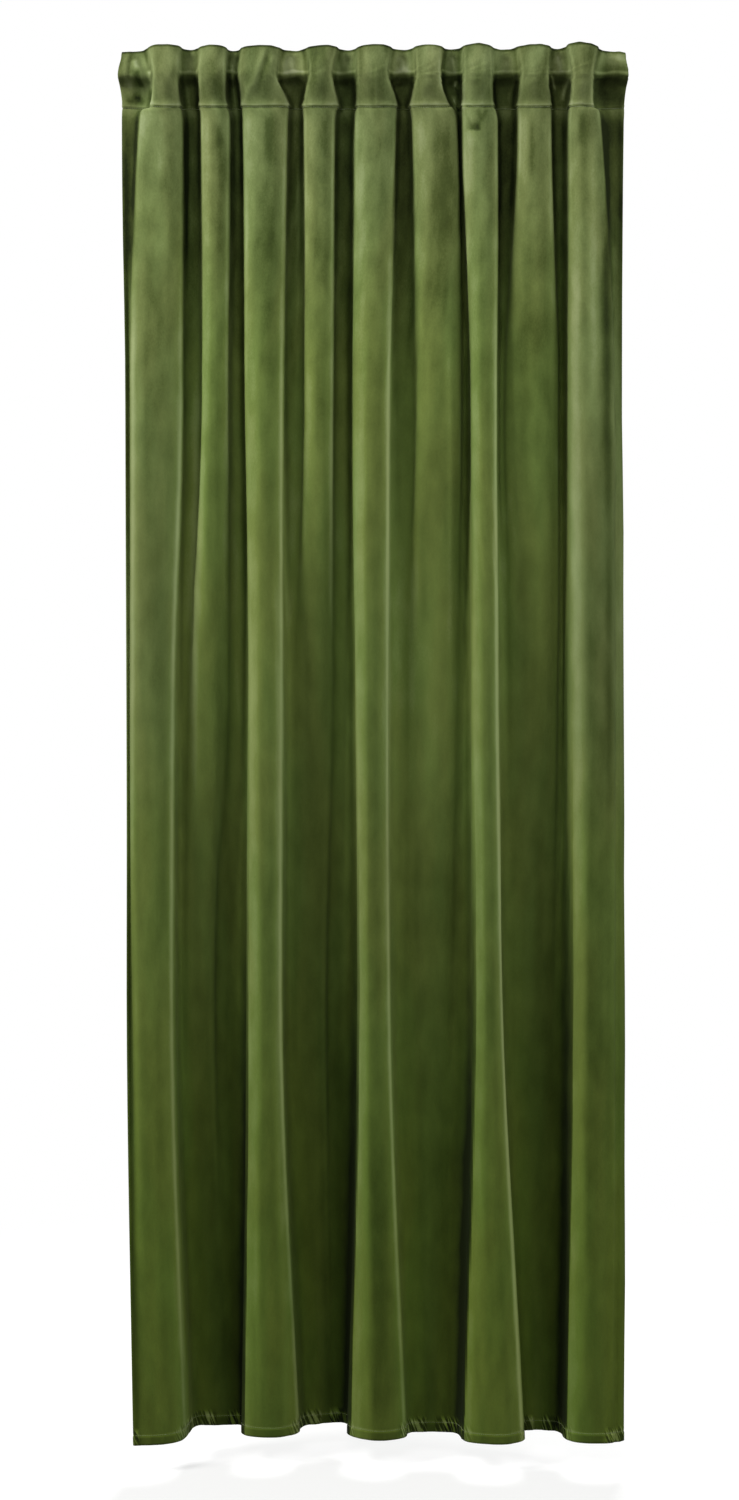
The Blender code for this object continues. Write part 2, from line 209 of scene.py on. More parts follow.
def section_at(below):
    """The section at any height, read smoothly from the table of sections."""
    heights = [section.below for section in SECTIONS]
    ends = [steady(heights, column, below) for column in zip(*[section[1:-1] for section in SECTIONS])]
    folds = [Fold(*[steady(heights, column, below) for column in zip(*rows)])
             for rows in zip(*[section.folds for section in SECTIONS])]
    return Section(below, *ends, folds)


def anchors_of(section):
    """The side edges, valleys, fold edges and crests of a section, from left to right."""
    forward = steady(*zip(*LIPS), section.below)
    folds = section.folds
    valleys = [section.first_valley - forward] + [fold.behind - forward for fold in folds]
    rights = [section.left_end] + [fold.right for fold in folds]
    lefts = [fold.left for fold in folds] + [section.right_end]
    middles = [(right + left) / 2 for right, left in zip(rights, lefts)]
    anchors = [Anchor(section.left_end, section.left_depth - forward, "end", 0.0, 1.0),
               Anchor(middles[0], valleys[0], "level", 0.0, 1.0)]
    for fold, before, after, middle in zip(folds, valleys, valleys[1:], middles[1:]):
        anchors.append(Anchor(fold.left, (before + fold.front) / 2, "flank", fold.under_left, 0.5))
        anchors.append(Anchor(fold.crest, fold.front, "level", 0.0, 0.0))
        anchors.append(Anchor(fold.right, (after + fold.front) / 2, "flank", fold.under_right, 0.5))
        anchors.append(Anchor(middle, after, "level", 0.0, 1.0))
    anchors.append(Anchor(section.right_end, section.right_depth - forward, "end", 0.0, 1.0))
    return anchors


def softness(anchors, index, share):
    """From 0 on an upright flank to 1 on a flat one, for the stretch between a valley and a crest."""
    level = index if anchors[index].kind == "level" else index + 1
    flank = index if anchors[index].kind == "flank" else index + 1
    other = 2 * flank - level
    width = abs(anchors[other].x - anchors[level].x)
    depth = abs(anchors[other].y - anchors[level].y)
    return max(0.0, 1.0 - depth / max(share * width, 1.0))


def stretch_pulls(anchors, index, share):
    """The tangents at both ends of the stretch from one anchor to the next."""
    start, end = anchors[index], anchors[index + 1]
    dx, dy = end.x - start.x, end.y - start.y
    if "end" in (start.kind, end.kind):
        plain = (dx, dy)
        level = (dx, 0.0)
        return (plain, level) if start.kind == "end" else (level, plain)
    soft = softness(anchors, index, share)
    level = (dx * (ROUND_PULL + (SOFT_PULL - ROUND_PULL) * soft), 0.0)
    under = start.under + end.under
    flank = (dx * soft - under, dy * ROUND_PULL)
    return (flank, level) if start.kind == "flank" else (level, flank)


# The finished sheet

# The gaps from the velvet to the strip and from the strip to the tabs, and the heights of the strip's edges
SEAM_GAP = 0.35
TAB_GAP = 0.4
STRIP_TOP = 6.0
STRIP_BOTTOM = 112.0

# A tab's two feet lie on the strip at these heights, clear of its hindmost place within a margin of the
# tab's sides, and between them the tab bows back
TOP_FOOT = (6.8, 17.2)
LOW_FOOT = (94.4, 109.8)
TAB_MARGIN = 4.0
TAB_BOW = 23.0
TAB_BOW_POWER = 0.6
TAB_STEPS = 16
TAB_COLUMNS = 9
SELVEDGE_THINNING = 0.35

# Sewn lines: their heights on the cloth, the width of the side hems, the pitches of the puckers along the
# seam and the hem, and the lean of the hem's gathers
TOP_STITCH = 8.5
SEAM = 110.0
HEM_LINE = DROP - 16.0
SIDE_HEM = 17.0
SEAM_PUCKER = 9.0
HEM_PUCKER = 7.5
HEM_SLANT = -0.42

# The lips over the rod space: the middle of their face, where painted light falls, and their rim, which has a
# painted highlight
LIP_FACE = 28.0
LIP_RIM = 47.0

# Steps along each stretch of a section's curve, and mesh columns, which keep the panel under 200,000
# triangles
STRETCH_STEPS = 20
COLUMNS = 562


def spaced(*stretches):
    """Heights of mesh rows: each stretch is (from, to, step), and the last one closes at its end."""
    rows = []
    for start, end, step in stretches:
        count = max(1, round((end - start) / step))
        rows += [start + (end - start) * i / count for i in range(count)]
    return rows + [stretches[-1][1]]


PANEL_ROWS = spaced((0, 8, 2.7), (8, 40, 4.6), (40, 60, 2.2), (60, 78, 3.6), (78, 104, 6.5), (104, 120, 1.6),
                    (120, 154, 5.7), (154, 250, 16), (250, 2380, 100), (2380, 2428, 8), (2428, 2440, 2),
                    (2440, DROP, 3.4))

# Uneven noise over the cloth: its height, the width and height of its swells, and its seed
Swell = namedtuple("Swell", "height wide tall seed")
LONG_WAVES = Swell(3.2, 52, 760, 3.1)
SHORT_WAVES = Swell(1.3, 18, 520, 7.7)
RUFFLED_HEADING = Swell(1.5, 15, 42, 2.2)
WAVY_RIM = Swell(3.5, 22, 900, 5.2)
WAVY_SEAM = Swell(1.2, 35, 900, 1.3)
PATCHY_SEAM = Swell(0.9, 14, 900, 6.1)
SEAM_GATHERS = Swell(1.0, 4, 300, 9.2)
HEM_GATHERS = Swell(1.0, 5, 200, 4.4)

# The cloth's middle surface: points and unit normals to the back, in millimetres, with each point's height
# on the cloth, its way along the cloth from the left edge, the row's whole length, how far it lies in a
# valley, and the height of its creases
Cloth = namedtuple("Cloth", "points normals below run length valley creased")


def thread_points(below):
    """Points at even steps along the cloth at one height: across, depth, way along, how far in a valley."""
    anchors = anchors_of(section_at(below))
    share = steady(*zip(*STANDS), below)
    t = np.arange(STRETCH_STEPS) / STRETCH_STEPS
    parts = []
    for index, (start, end) in enumerate(zip(anchors, anchors[1:])):
        first, last = stretch_pulls(anchors, index, share)
        parts.append(np.stack([hermite(start.x, end.x, first[0], last[0], t),
                               hermite(start.y, end.y, first[1], last[1], t),
                               hermite(start.valley, end.valley, 0.0, 0.0, t)]))
    parts.append(np.array([[anchors[-1].x], [anchors[-1].y], [anchors[-1].valley]]))
    x, y, valley = np.concatenate(parts, axis=1)
    run = np.concatenate([[0.0], np.cumsum(np.hypot(np.diff(x), np.diff(y)))])
    even = np.linspace(0.0, run[-1], COLUMNS)
    return np.interp(even, run, x), np.interp(even, run, y), even, np.interp(even, run, valley)


def normals_of(grid):
    """Unit normals of a grid of points, pointing to the back of the curtain."""
    normals = np.cross(np.gradient(grid, axis=1), np.gradient(grid, axis=0))
    return normals / np.linalg.norm(normals, axis=2, keepdims=True)


def step_up(value, start, end):
    """A smooth step from 0 at start to 1 at end."""
    t = np.clip((value - start) / (end - start), 0, 1)
    return t * t * (3 - 2 * t)


def step_down(value, start, end):
    """A smooth step from 1 at start to 0 at end."""
    return 1 - step_up(value, start, end)


def line(value, place, width):
    """A narrow bell of height 1 at one place."""
    return np.exp(-((value - place) / width) ** 2)


# A crease runs past its ends by this share of its length, and fades over its last third
CREASE_PAST = 0.15
CREASE_FADE = 1 / 3


def crease_heights(x, below, creases):
    """The sum of the ridges and troughs at each point of the front, in millimetres."""
    total = np.zeros_like(x)
    for crease in creases:
        bx, by = crease.x2 - crease.x1, crease.below2 - crease.below1
        length = math.hypot(bx, by)
        along = ((x - crease.x1) * bx + (below - crease.below1) * by) / length ** 2
        across = ((x - crease.x1) * by - (below - crease.below1) * bx) / length
        begins = np.clip((along + CREASE_PAST) / CREASE_FADE, 0, 1)
        ends = np.clip((1 + CREASE_PAST - along) / CREASE_FADE, 0, 1)
        total += crease.height * step_up(begins * ends, 0, 1) * line(across, 0, crease.width)
    return total


def swells(across, below, kind):
    """Slow uneven noise over the cloth, up to about its kind's height either way."""
    values = [noise.noise(Vector((a / kind.wide, b / kind.tall, kind.seed)))
              for a, b in zip(across.ravel(), below.ravel())]
    return kind.height * np.array(values).reshape(across.shape)


def hung_cloth(rows):
    """The cloth's middle surface at the given heights, with its swells and the heights of its creases."""
    shape = (len(rows), COLUMNS)
    points = np.zeros(shape + (3,))
    run, valley = np.zeros(shape), np.zeros(shape)
    for r, below in enumerate(rows):
        x, y, run[r], valley[r] = thread_points(below)
        up = steady(*zip(*LIFTS), below)
        points[r] = np.stack([x, y, up * valley[r] - below], axis=1)
    below = np.repeat(np.array(rows)[:, None], COLUMNS, axis=1)
    length = np.repeat(run[:, -1:], COLUMNS, axis=1)
    waves = swells(run, below, LONG_WAVES) + swells(run, below, SHORT_WAVES)
    waves *= step_up(below, *FREE_CLOTH)
    points = points - normals_of(points) * waves[:, :, None]
    normals = normals_of(points)
    facing = step_up(normals[:, :, 1], *FACING_FRONT)
    creased = crease_heights(points[:, :, 0], below, CREASES) * facing
    return Cloth(points, normals, below, run, length, valley, creased)


# Where effects start and are whole: down the cloth, across it, into the valleys, and as the cloth turns
FREE_CLOTH = (SEAM, 420)
FACING_FRONT = (0.0, 0.5)
HELD_VALLEY = (0.35, 0.75)
OFF_LEFT_END = (-400, -390)
COLUMN_SIDE = (0.3, 0.7)
FOLD_SIDE = (0.3, 0.6)
TURNED_LEFT = (0.3, 0.8)
TURNED_RIGHT = (0.1, 0.6)
UNDER_SEAM = (SEAM, SEAM + 30)
UPPER_VALLEYS = (200, 620)
UPPER_FOLDS = (250, 420)
LONG_RIMS = (260, 700)
DEEP_GAPS = (1100, 2200)
GAP_EDGES = (250, 500)
GAP_EDGES_FADE = (1000, 1600)

# How much painted light (above nought) or painted shade (below it) each kind of place gets
PAINTED_LIGHT_AND_SHADE = SimpleNamespace(
    lip=0.4, rim=1.2, recess=-1.1, heading=-0.3, top_edge=-2.0, crease=0.35,
    turned_left=0.8, turned_right=1.0, facing=-0.2, middle_valley=0.6, upper_valley=-1.4,
    fold_edge=0.9, beside_fold=-1.0, long_rim=2.4, deep_gap=-2.6, gap_edge=-1.4,
    seam=0.5, seam_on_column=0.9, stitches=-0.5, stitches_on_column=-1.3, hem_fold=0.9, hem=-0.4)

# Marks on the velvet: long streaks where a hand or a fold has brushed the pile, and painted shade and painted
# highlights on the heading's lips and creases, the folds' facets and the recesses at both ends
PILE_AND_SHADE_MARKS = [Stroke(*row) for row in (
    (-438, 118, -438, 900, 6, -1.2), (-419, 116, -427, 420, 8, -0.9), (-373, 122, -377, 190, 24, 0.9),
    (-377, 190, -378, 270, 12, 0.8), (-374, 310, -374, 406, 15, 0.7), (-391, 390, -391, 450, 13, -0.8),
    (-332, 124, -332, 400, 3, -1.2), (-272, 140, -271, 182, 7, -0.9), (-268, 180, -270, 420, 8, -0.5),
    (-208, 126, -206, 178, 12, 0.6), (-186, 130, -183, 214, 10, -0.8), (-190, 214, -186, 420, 14, -0.5),
    (-157, 124, -155, 500, 8, 0.7), (-85, 126, -85, 240, 9, -0.5), (-20, 200, -16, 420, 12, 0.7),
    (22, 130, 22, 240, 9, 0.5), (88, 124, 90, 300, 10, 0.6), (118, 126, 120, 340, 20, -0.9),
    (168, 147, 187, 147, 6, -1.3), (168, 162, 186, 162, 8, 0.9), (163, 118, 170, 138, 3, -0.8),
    (198, 116, 188, 137, 3, -0.8), (188, 180, 194, 420, 15, 0.7), (278, 124, 278, 240, 5, -0.7),
    (366, 120, 366, 175, 8, -0.7), (384, 180, 388, 620, 9, 0.9), (411, 116, 412, 760, 9, -1.5),
    (378, 760, 380, 2300, 26, -0.55), (-314, 480, -316, 1300, 10, 0.9), (-394, 520, -394, 1200, 22, -0.5),
    (104, 940, 104, 1380, 40, 0.7), (-222, 230, -224, 620, 3, 0.8), (-133, 200, -134, 560, 3, 0.8),
    (133, 420, 136, 1100, 5, 0.7), (26, 480, 26, 1500, 4, 0.9), (-72, 260, -76, 1000, 3, 1.2),
    (-259, 260, -258, 760, 3, 0.9), (360, 300, 360, 1500, 9, 0.5), (415, 740, 416, 1300, 9, -1.0),
    (-423, 420, -424, 1500, 4, 1.0), (313, 52, 322, 74, 2.5, 2.4), (346, 58, 338, 92, 2.5, 2.2),
    (146, 62, 147, 70, 3, 2.8), (145, 92, 146, 102, 3, 2.8), (151, 107, 153, 114, 4, -1.8),
    (40, 44, 62, 41, 6, 1.3), (-156, 50, -132, 47, 5, 1.0), (4, 1900, 6, 2440, 22, -0.6),
    (-206, 120, -204, 300, 26, 0.5), (86, 500, 88, 1000, 8, -0.5), (-432, 1500, -413, 2444, 6, -1.6),
    (439, 118, 439, 700, 5, -1.2), (396, 38, 452, 40, 16, -1.6), (396, 88, 452, 88, 18, -0.8),
    (404, 8, 446, 14, 5, 0.5), (-416, 44, -410, 72, 7, -2.0), (-442, 64, -426, 68, 12, 1.3),
    (-438, 98, -412, 92, 7, -1.6), (-428, 84, -406, 100, 6, -0.9), (-395, 44, -392, 78, 4, 2.0),
    (-425, 22, -420, 40, 8, 0.9),
)]

# The folds that stand out down to the hem, counted from 0 at the left: all but the last have a painted
# highlight along their right rim and painted shade in the gap to their right
LONG_FOLDS = (0, 2, 4, 6, 8)


def light_and_shade_on_heading(cloth):
    """Painted light on the lips' faces and painted highlights on their rims, and painted shade under them and
    along the cloth's top edge; the heading's columns a little darker.
    """
    x, below = cloth.points[:, :, 0], cloth.below
    held = step_up(cloth.valley, *HELD_VALLEY) * step_up(x, *OFF_LEFT_END)
    rim = LIP_RIM + swells(x, below, WAVY_RIM)
    tone_and_shade = held * (PAINTED_LIGHT_AND_SHADE.lip * line(below, LIP_FACE, 16) + PAINTED_LIGHT_AND_SHADE.rim * line(below, rim, 2.5))
    tone_and_shade += PAINTED_LIGHT_AND_SHADE.recess * held * step_up(below, rim + 3, rim + 7) * step_down(below, SEAM - 4, SEAM)
    tone_and_shade += PAINTED_LIGHT_AND_SHADE.heading * (1 - held) * step_down(below, SEAM - 30, SEAM)
    return tone_and_shade + PAINTED_LIGHT_AND_SHADE.top_edge * step_down(below, 1.5, 4.5)


def light_and_shade_on_folds(cloth):
    """Painted highlights along the folds' edges and turned sides, and painted shade on fronts that face
    ahead, beside the folds and in the deep gaps; the valleys lighter at middle height and darker near the
    top.
    """
    x, below, valley = cloth.points[:, :, 0], cloth.below, cloth.valley
    rows = [section_at(row).folds for row in below[:, 0]]
    lefts, rights = [np.array([[getattr(fold, side) for fold in folds] for folds in rows]).T[:, :, None]
                     for side in ("left", "right")]
    front = step_down(valley, *FOLD_SIDE)
    turn = cloth.normals[:, :, 0]
    sides = PAINTED_LIGHT_AND_SHADE.turned_left * step_up(-turn, *TURNED_LEFT) + PAINTED_LIGHT_AND_SHADE.turned_right * step_up(turn, *TURNED_RIGHT)
    depths = PAINTED_LIGHT_AND_SHADE.middle_valley * line(below, 950, 380) + PAINTED_LIGHT_AND_SHADE.upper_valley * step_down(below, *UPPER_VALLEYS)
    tone_and_shade = step_up(below, *UNDER_SEAM) * (front * (sides + PAINTED_LIGHT_AND_SHADE.facing) + valley * depths)
    upper = step_down(below, *UPPER_FOLDS)
    for left, right in zip(lefts, rights):
        tone_and_shade += PAINTED_LIGHT_AND_SHADE.fold_edge * upper * front * (line(x, right - 3, 2.5) + line(x, left + 3, 2.5))
        tone_and_shade += PAINTED_LIGHT_AND_SHADE.beside_fold * upper * (1 - front) * (line(x, right + 5, 4) + line(x, left - 5, 4))
    edges = step_up(below, *GAP_EDGES) * (1 - 0.6 * step_up(below, *GAP_EDGES_FADE))
    for number, following in zip(LONG_FOLDS, LONG_FOLDS[1:]):
        right, left = rights[number], lefts[following]
        tone_and_shade += PAINTED_LIGHT_AND_SHADE.long_rim * line(x, right - 3, 3) * front * step_up(below, *LONG_RIMS)
        gap = np.clip((x - right) / (left - right), 0, 1) * (x < left + 4)
        tone_and_shade += PAINTED_LIGHT_AND_SHADE.deep_gap * gap ** 3 * step_up(below, *DEEP_GAPS)
        tone_and_shade += PAINTED_LIGHT_AND_SHADE.gap_edge * line(x, left - 7, 7) * (1 - front) * edges
    return tone_and_shade


def light_and_shade_on_seams(cloth):
    """Painted highlights just above the sewn lines, and painted shade in the heading seam and over the hem
    below its line.
    """
    column = step_down(cloth.valley, *COLUMN_SIDE)
    seam = seam_line(cloth)
    patchy = 0.8 + swells(cloth.run, cloth.below, PATCHY_SEAM)
    tone_and_shade = (PAINTED_LIGHT_AND_SHADE.seam + PAINTED_LIGHT_AND_SHADE.seam_on_column * column) * line(cloth.below, seam - 3, 2)
    tone_and_shade += (PAINTED_LIGHT_AND_SHADE.stitches + PAINTED_LIGHT_AND_SHADE.stitches_on_column * column) * patchy * line(cloth.below, seam + 1, 1.8)
    tone_and_shade += PAINTED_LIGHT_AND_SHADE.hem_fold * line(cloth.below, HEM_LINE - 1, 2)
    return tone_and_shade + PAINTED_LIGHT_AND_SHADE.hem * step_up(cloth.below, HEM_LINE + 1, HEM_LINE + 4)


def marks_and_painted_shading(cloth):
    """How much lighter or darker each point is painted, above or below nought: brushed streaks in the pile,
    with painted light and painted shade.
    """
    marked = crease_heights(cloth.points[:, :, 0], cloth.below, PILE_AND_SHADE_MARKS)
    # Painted light on the creases' ridges and painted shade in their troughs
    marked += PAINTED_LIGHT_AND_SHADE.crease * np.clip(cloth.creased, -2, 3)
    return marked + light_and_shade_on_heading(cloth) + light_and_shade_on_folds(cloth) + light_and_shade_on_seams(cloth)


def seam_line(cloth):
    """The uneven height at which the heading's seam pulls each point of the cloth in."""
    return SEAM - 1.5 * (1 - cloth.valley) + swells(cloth.run, cloth.below, WAVY_SEAM)


def pucker_waves(cloth, pitch, share, kind):
    """Even puckers along a sewn line, mixed with uneven gathers."""
    return np.sin(math.tau * cloth.run / pitch) * share + swells(cloth.run, cloth.below, kind)


# How far a sewn line's groove reaches to either side, and the rise of cloth that is turned under
GROOVE = 1.8
TURNED_UNDER = 0.6


def sewn_relief(cloth):
    """How far the front stands out from its plain face: turned hems, sewn lines and their puckers."""
    below = cloth.below
    edge = np.minimum(cloth.run, cloth.length - cloth.run)
    relief = 0.5 * step_down(edge, SIDE_HEM - 1, SIDE_HEM + 2) * step_up(edge, -1, 2)
    relief -= 0.6 * line(edge, SIDE_HEM - 2, GROOVE) * step_up(below, SEAM, SEAM + 20)
    relief += swells(cloth.run, below, RUFFLED_HEADING) * step_down(below, SEAM - 10, SEAM)
    relief += 0.4 * step_down(below, TOP_STITCH, TOP_STITCH + 3) - 0.5 * line(below, TOP_STITCH, GROOVE)
    seam = seam_line(cloth)
    relief += 1.2 * line(below, seam - 3.5, 3) - 1.8 * line(below, seam + 0.5, 1.7)
    near_seam = np.exp(-np.abs(below - SEAM) / 11) * step_up(below, 60, 100)
    relief += 0.55 * near_seam * pucker_waves(cloth, SEAM_PUCKER, 0.4, SEAM_GATHERS)
    relief += TURNED_UNDER * step_up(below, HEM_LINE - 1, HEM_LINE + 2) - 0.9 * line(below, HEM_LINE, GROOVE)
    near_hem = np.exp(-np.abs(below - HEM_LINE) / 14) * (0.25 + 0.75 * cloth.valley)
    return relief + 0.9 * near_hem * pucker_waves(cloth, HEM_PUCKER, 0.45, HEM_GATHERS)


# How far a sheet's rim bulges, in parts of half its thickness
RIM_BULGE = 0.8


def closed_sheet(front, back):
    """Points and faces of the closed sheet between two grids, with a rounded rim, and the rim's points."""
    rows, columns = front.shape[:2]
    count = rows * columns
    index = np.arange(count).reshape(rows, columns)
    quads = np.stack([index[:-1, :-1], index[1:, :-1], index[1:, 1:], index[:-1, 1:]], axis=2).reshape(-1, 4)
    rim = np.concatenate([index[0, :], index[1:, -1], index[-1, -2::-1], index[-2:0:-1, 0]])
    middle = (front + back) / 2
    outward = np.zeros_like(middle)
    outward[0] += middle[0] - middle[1]
    outward[-1] += middle[-1] - middle[-2]
    outward[:, 0] += middle[:, 0] - middle[:, 1]
    outward[:, -1] += middle[:, -1] - middle[:, -2]
    outward /= np.maximum(np.linalg.norm(outward, axis=2, keepdims=True), 1e-9)
    half = np.linalg.norm(front - back, axis=2, keepdims=True) / 2
    edge = (middle + outward * half * RIM_BULGE).reshape(-1, 3)[rim]
    points = np.concatenate([front.reshape(-1, 3), back.reshape(-1, 3), edge])
    ahead = np.roll(rim, -1)
    edge_index = 2 * count + np.arange(len(rim))
    edge_ahead = np.roll(edge_index, -1)
    front_rim = np.stack([rim, ahead, edge_ahead, edge_index], axis=1)
    back_rim = np.stack([edge_index, edge_ahead, count + ahead, count + rim], axis=1)
    return points, np.concatenate([quads, quads[:, ::-1] + count, front_rim, back_rim]), rim


def new_object(name, points, faces, materials):
    """A smooth-shaded object from points in millimetres, linked to the scene."""
    mesh = bpy.data.meshes.new(name)
    mesh.from_pydata((np.asarray(points) * MM).tolist(), [], np.asarray(faces).tolist())
    for material in materials:
        mesh.materials.append(material)
    mesh.shade_smooth()
    mesh.update()
    thing = bpy.data.objects.new(name, mesh)
    bpy.context.scene.collection.objects.link(thing)
    return thing


def sheet_object(name, front, back, flat, materials, backing=None, fields=None):
    """A closed cloth object with its flat place as a UV map, in units of 2.5 m. backing says for each back
    face which material it takes, and fields gives named values at each point."""
    points, faces, rim = closed_sheet(front, back)
    thing = new_object(name, points, faces, materials)
    mesh = thing.data
    if backing is not None:
        slots = np.zeros(len(faces), dtype=np.int32)
        slots[backing.size:2 * backing.size] = backing.ravel()
        mesh.polygons.foreach_set("material_index", slots)
    flat = flat.reshape(-1, 2)
    per_point = np.concatenate([flat, flat, flat[rim]])
    loops = np.zeros(len(mesh.loops), dtype=np.int32)
    mesh.loops.foreach_get("vertex_index", loops)
    mesh.uv_layers.new(name="flat").data.foreach_set("uv", per_point[loops].ravel())
    for field, grid in (fields or {}).items():
        values = grid.ravel()
        values = np.concatenate([values, values, values[rim]])
        mesh.attributes.new(field, "FLOAT", "POINT").data.foreach_set("value", values)
    return thing


def flat_places(run, below):
    """The UV place of each point from its way along and down the cloth in millimetres."""
    return np.stack([run * MM / UV_METRES, 1 - below * MM / UV_METRES], axis=2)


# Stitches: their length and pitch, the thread's half width, and for each ring of a stitch its place along
# it and its height over the cloth
STITCH = 2.8
STITCH_PITCH = 3.8
THREAD = 0.45
STITCH_RINGS = ((0.0, -0.5), (0.3, 0.35), (0.7, 0.35), (1.0, -0.5))


def stitch_row(points, outward):
    """Points and faces of a row of stitches along a line on a face, each sunk into the cloth at its ends."""
    steps = np.linalg.norm(np.diff(points, axis=0), axis=1)
    run = np.concatenate([[0.0], np.cumsum(steps)])
    count = int(run[-1] // STITCH_PITCH)
    starts = np.arange(count) * STITCH_PITCH + 0.5
    spots, outs = [[np.stack([np.interp(starts + share * STITCH, run, column) for column in values.T], axis=1)
                    for share, _ in STITCH_RINGS] for values in (points, outward)]
    along = spots[-1] - spots[0]
    along /= np.linalg.norm(along, axis=1, keepdims=True)
    rings = []
    for spot, out, (_, height) in zip(spots, outs, STITCH_RINGS):
        out = out / np.linalg.norm(out, axis=1, keepdims=True)
        side = np.cross(along, out) * THREAD
        centre = spot + out * height
        rings.append(np.stack([centre - side, centre + out * THREAD * 0.8, centre + side,
                               centre - out * THREAD * 0.6], axis=1))
    faces = []
    for first in range(0, count * 16, 16):
        for ring in range(first, first + 12, 4):
            for a, b in ((0, 1), (1, 2), (2, 3), (3, 0)):
                faces.append((ring + a, ring + b, ring + b + 4, ring + a + 4))
        faces += [tuple(range(first + 3, first - 1, -1)), tuple(range(first + 12, first + 16))]
    return np.stack(rings, axis=1).reshape(-1, 3), faces


def stitches_object(name, rows, material):
    """One object of several rows of stitches."""
    points, faces = [], []
    for verts, quads in rows:
        offset = sum(len(part) for part in points)
        points.append(verts)
        faces += [tuple(offset + corner for corner in quad) for quad in quads]
    return new_object(name, np.concatenate(points), faces, [material])


# Materials


def linear(hex_colour):
    """An sRGB hex colour as a linear one with full alpha."""
    channels = [int(hex_colour[i:i + 2], 16) / 255 for i in (1, 3, 5)]
    return tuple(c / 12.92 if c <= 0.04045 else ((c + 0.055) / 1.055) ** 2.4 for c in channels) + (1.0,)


def feed(tree, node, inputs):
    """Gives inputs their values, or links each to the socket or the first output of the node given for it."""
    for name, value in inputs.items():
        if isinstance(value, bpy.types.Node):
            value = value.outputs[0]
        if isinstance(value, bpy.types.NodeSocket):
            tree.links.new(value, node.inputs[name])
        else:
            node.inputs[name].default_value = value


def add_node(tree, kind, inputs=None, **settings):
    """Adds one shader node with its settings and its inputs."""
    node = tree.nodes.new("ShaderNode" + kind)
    for name, value in settings.items():
        setattr(node, name, value)
    feed(tree, node, inputs or {})
    return node


def new_material(name, inputs):
    """A material with its tree and its shader, whose own sockets take the given values."""
    material = bpy.data.materials.new(name)
    material.use_nodes = True
    shader = material.node_tree.nodes["Principled BSDF"]
    feed(material.node_tree, shader, inputs)
    return material, material.node_tree, shader


def flat_millimetres(tree, scale=(1.0, 1.0, 1.0), turn=0.0):
    """The place on the flat cloth in millimetres, turned by an angle and then stretched by a scale."""
    place = add_node(tree, "UVMap", uv_map="flat")
    turned = add_node(tree, "Mapping", {
        "Vector": place, "Scale": (UV_METRES / MM,) * 3, "Rotation": (0.0, 0.0, turn)})
    return add_node(tree, "Mapping", {"Vector": turned, "Scale": scale})


# Patches of noise on the flat cloth: about how wide and tall they are in millimetres, and their lean
Cloud = namedtuple("Cloud", "wide tall detail roughness turn", defaults=(3.0, 0.55, 0.0))


def add_cloud(tree, cloud):
    """The value of one kind of patches."""
    where = flat_millimetres(tree, (1 / cloud.wide, 1 / cloud.tall, 1.0), cloud.turn)
    return add_node(tree, "TexNoise", {"Vector": where, "Scale": 1.0, "Detail": cloud.detail,
                                       "Roughness": cloud.roughness}).outputs["Fac"]


# A mask goes softly from one value to another while what it reads goes from start to end
Mask = namedtuple("Mask", "reads start end before after")


def add_masks(tree, fields, masks):
    """Adds each mask of a table to the fields, by name."""
    for name, mask in masks.items():
        inputs = dict(enumerate((fields[mask.reads], *mask[1:])))
        fields[name] = add_node(tree, "MapRange", inputs, interpolation_type="SMOOTHSTEP")


# Velvet colours from painted deep shade through the pile's tones to painted highlight: near the heading,
# paler and greyer there as painted sheen, and near the hem
UPPER_TONES_AND_SHADE = ((0.0, "#1C230D"), (0.3, "#454F28"), (0.62, "#6C764A"), (1.0, "#979F79"))
LOWER_TONES_AND_SHADE = ((0.0, "#151C08"), (0.3, "#3C4A16"), (0.62, "#62752B"), (1.0, "#96A562"))

VELVET_CLOUDS = {
    "brushed": Cloud(26, 70, 3.0, 0.5),
    "speckled": Cloud(3, 5, 2.0, 0.6),
    "patches": Cloud(130, 300, 2.0),
    "streaked": Cloud(34, 900, 1.0, 0.5),
    "slanted": Cloud(4.2, 45, 1.0, 0.4, HEM_SLANT),
    "hued": Cloud(70, 420, 2.0),
    "tufts": Cloud(1.1, 1.5, 2.0),
    "ruffles": Cloud(7, 16, 3.0),
}
# Places across and up the flat cloth are in UV units, from its left edge and from below its hem
HEM_UV = 1 - HEM_LINE * MM / UV_METRES
VELVET_MASKS = {
    "heading": Mask("height", 0.75, 1.0, 0.0, 1.0),
    "upper_half": Mask("height", 0.1, 0.5, 0.0, 1.0),
    "left_fold": Mask("across", 0.03, 0.09, 0.7, 0.0),
    "right_fold": Mask("across", 0.48, 0.52, 0.0, 0.8),
    "over_hem": Mask("height", 0.3, 0.6, 0.0, 1.0),
    "swing": Mask("height", 0.6, 1.0, 0.65, 1.6),
    "puckers": Mask("slanted", 0.4, 0.6, -0.45, 1.0),
    "hem": Mask("height", HEM_UV + 14 * MM / UV_METRES, HEM_UV, 0.0, 1.0),
    "recess": Mask("valley", 0.2, 0.5, 0.0, 1.0),
    "hue": Mask("hued", 0.35, 0.65, 0.496, 0.511),
    "shine_of_folds": Mask("valley", 0.2, 0.5, 1.0, 0.25),
}
SHINE_MASKS = {
    "shine_of_nap": Mask("tone_and_shade", 0.1, 0.9, 0.1, 1.0),
    "shine_of_heading": Mask("upper", 0.0, 1.0, 0.55, 1.0),
}
# How strongly the mesh's own marks, with their painted light and shade, and the painted light and shade of
# the gathers at the hem change the velvet's colour
MARKED_PILE_AND_SHADE = 0.2
GATHERS_LIGHT_AND_SHADE = 0.42

# Bumps, the finest first: what each reads, its strength and its height in metres
VELVET_BUMPS = (("tufts", 0.35, 0.0005), ("ruffles", 0.4, 0.0018), ("gathers", 1.0, 0.003))


